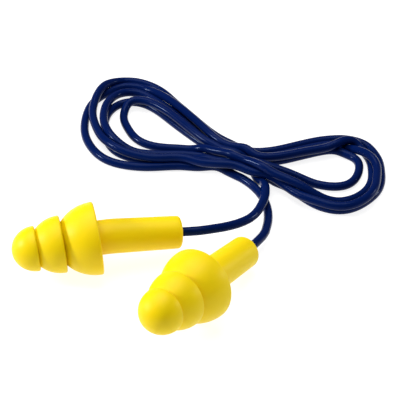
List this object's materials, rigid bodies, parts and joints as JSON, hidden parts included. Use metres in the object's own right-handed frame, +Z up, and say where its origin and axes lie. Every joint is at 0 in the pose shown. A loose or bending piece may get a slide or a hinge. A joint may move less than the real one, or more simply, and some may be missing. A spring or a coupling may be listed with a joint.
{
  "type": "corded ear plugs",
  "caption": "Pair of reusable flanged ear plugs with plain stems, joined by a soft thin cord that is coiled in a pinched hank.",
  "frame": {"origin": "on the resting surface, below the middle of the box around the two plugs", "axes": "+Z up from the resting surface, the left plug's heading along +X from its tip to its stem, the hank of cord behind the plugs at +Y"},
  "size_m": [0.0669, 0.0812, 0.0127],
  "materials": {
    "plug_elastomer": "satin",
    "cord_vinyl": "glossy"
  },
  "bodies": {
    "cord": {"cord_hank": "cord_vinyl", "cord_lead_left": "cord_vinyl", "cord_lead_right": "cord_vinyl"},
    "left_link": {"cord_link_left": "cord_vinyl"},
    "left_plug": {"ear_plug_left": "plug_elastomer", "cord_tail_left": "cord_vinyl"},
    "right_link": {"cord_link_right": "cord_vinyl"},
    "right_plug": {"ear_plug_right": "plug_elastomer", "cord_tail_right": "cord_vinyl"}
  },
  "joints": [
    {"name": "left_swing", "type": "hinge", "parent": "cord", "child": "left_link", "pos_m": [0.01868, 0.01656, 0.00342], "axis": [0, 0, 1], "range_deg": [-35, 3]},
    {"name": "left_lift", "type": "hinge", "parent": "left_link", "child": "left_plug", "pos_m": [0.01202, 0.01249, 0.00498], "axis": [-0.2045, 0.9789, 0], "range_deg": [0, 60]},
    {"name": "right_swing", "type": "hinge", "parent": "cord", "child": "right_link", "pos_m": [0.02337, 0.02034, 0.00106], "axis": [0, 0, 1], "range_deg": [0, 45]},
    {"name": "right_lift", "type": "hinge", "parent": "right_link", "child": "right_plug", "pos_m": [0.02129, 0.0128, 0.00225], "axis": [-0.8251, 0.565, 0], "range_deg": [0, 45]}
  ]
}
